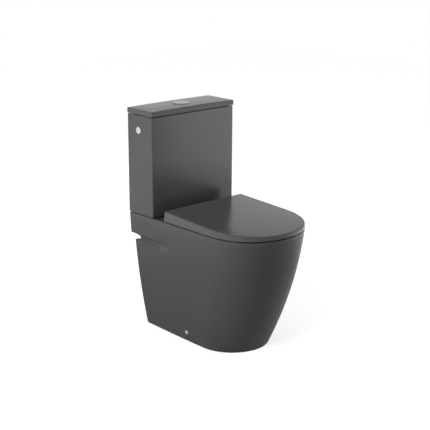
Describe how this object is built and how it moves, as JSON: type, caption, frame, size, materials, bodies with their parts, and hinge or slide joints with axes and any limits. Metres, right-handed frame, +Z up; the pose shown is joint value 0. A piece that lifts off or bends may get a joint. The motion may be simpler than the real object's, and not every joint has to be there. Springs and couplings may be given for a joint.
{
  "type": "close coupled toilet",
  "caption": "Floor-standing close coupled toilet: skirted pan with a pipe notch, slim cistern with a split push button on its lid, and a sloping wrap-over seat.",
  "frame": {"origin": "middle of the footprint on the floor: bottom centre of the bounding box", "axes": "+X to the viewer's right facing the front, +Y towards the wall behind, +Z up"},
  "size_m": [0.367, 0.58, 0.7813],
  "materials": {
    "ceramic": "matt dark grey glaze",
    "seat_plastic": "matt dark grey duroplast",
    "rubber": "matt black",
    "zinc_steel": "zinc plated",
    "steel_hinge": "brushed",
    "chrome_trim": "polished",
    "white_plastic": "moulded",
    "blue_plastic": "moulded"
  },
  "bodies": {
    "toilet": {"pan": "ceramic", "cistern": "ceramic", "coupling_gasket": "rubber", "coupling_bolts": "zinc_steel", "coupling_cone_washers": "rubber", "coupling_plate_washers": "zinc_steel", "coupling_wing_nuts": "zinc_steel", "flush_valve_body": "white_plastic", "flush_valve_washer": "rubber", "flush_valve_nut": "white_plastic", "lever_bracket": "white_plastic", "lever_pin": "zinc_steel", "fill_valve_body": "white_plastic", "fill_valve_washer": "rubber", "fill_valve_nut": "white_plastic", "float_pin": "zinc_steel", "side_hole_plugs": "chrome_trim", "side_hole_plug_nuts": "white_plastic", "floor_brackets": "white_plastic", "side_screws": "zinc_steel", "side_screw_caps": "chrome_trim", "hinge_posts": "steel_hinge", "hinge_pins": "steel_hinge", "hinge_cone_washers": "rubber", "hinge_wing_nuts": "zinc_steel"},
    "ring": {"seat_ring": "seat_plastic", "ring_buffers": "rubber"},
    "cover": {"seat_cover": "seat_plastic", "cover_lugs": "seat_plastic", "cover_buffers": "rubber"},
    "lid": {"cistern_lid": "ceramic", "lid_pads": "rubber", "button_housing": "chrome_trim", "housing_nut": "white_plastic"},
    "full_flush": {"full_button": "chrome_trim", "full_push_rod": "white_plastic"},
    "half_flush": {"half_button": "chrome_trim", "half_push_rod": "white_plastic"},
    "full_rocker": {"full_lever": "blue_plastic"},
    "half_rocker": {"half_lever": "blue_plastic"},
    "valve": {"overflow_tube": "blue_plastic", "flush_seal": "rubber"},
    "float": {"float_cup": "blue_plastic"},
    "float_arm": {"float_lever": "blue_plastic"}
  },
  "joints": [
    {"name": "seat_ring_hinge", "type": "hinge", "parent": "toilet", "child": "ring", "pos_m": [0, 0.1005, 0.4385], "axis": [-1, 0, 0], "range_deg": [0, 98]},
    {"name": "seat_cover_hinge", "type": "hinge", "parent": "ring", "child": "cover", "pos_m": [0, 0.1005, 0.4385], "axis": [1, 0, 0], "range_deg": [-99, 0]},
    {"name": "cistern_lid_lift", "type": "slide", "parent": "toilet", "child": "lid", "axis": [0, 0, 1], "range_m": [0, 0.15]},
    {"name": "full_flush_press", "type": "slide", "parent": "lid", "child": "full_flush", "axis": [0, 0, -1], "range_m": [0, 0.0055], "stiffness_N_per_m": 300, "springref_m": -0.004},
    {"name": "half_flush_press", "type": "slide", "parent": "lid", "child": "half_flush", "axis": [0, 0, -1], "range_m": [0, 0.0055], "stiffness_N_per_m": 300, "springref_m": -0.004},
    {"name": "full_lever_rock", "type": "hinge", "parent": "toilet", "child": "full_rocker", "pos_m": [-0.012, 0.2125, 0.6765], "axis": [-1, 0, 0], "range_deg": [0, 25.2]},
    {"name": "half_lever_rock", "type": "hinge", "parent": "toilet", "child": "half_rocker", "pos_m": [0.016, 0.2125, 0.6765], "axis": [-1, 0, 0], "range_deg": [0, 25.2]},
    {"name": "flush_valve_lift", "type": "slide", "parent": "toilet", "child": "valve", "axis": [0, 0, 1], "range_m": [0, 0.0113]},
    {"name": "float_rise", "type": "slide", "parent": "toilet", "child": "float", "axis": [0, 0, 1], "range_m": [0, 0.012]},
    {"name": "float_arm_swing", "type": "hinge", "parent": "toilet", "child": "float_arm", "pos_m": [0.125, 0.228, 0.675], "axis": [0, 1, 0], "range_deg": [0, 31.8]}
  ],
  "couplings": [
    {"joint": "full_lever_rock", "follows": "full_flush_press", "rad_per_m": 79.3},
    {"joint": "half_lever_rock", "follows": "half_flush_press", "rad_per_m": 79.3},
    {"joint": "flush_valve_lift", "follows": "full_flush_press", "ratio": 2.036},
    {"joint": "float_arm_swing", "follows": "float_rise", "rad_per_m": 46.05}
  ]
}
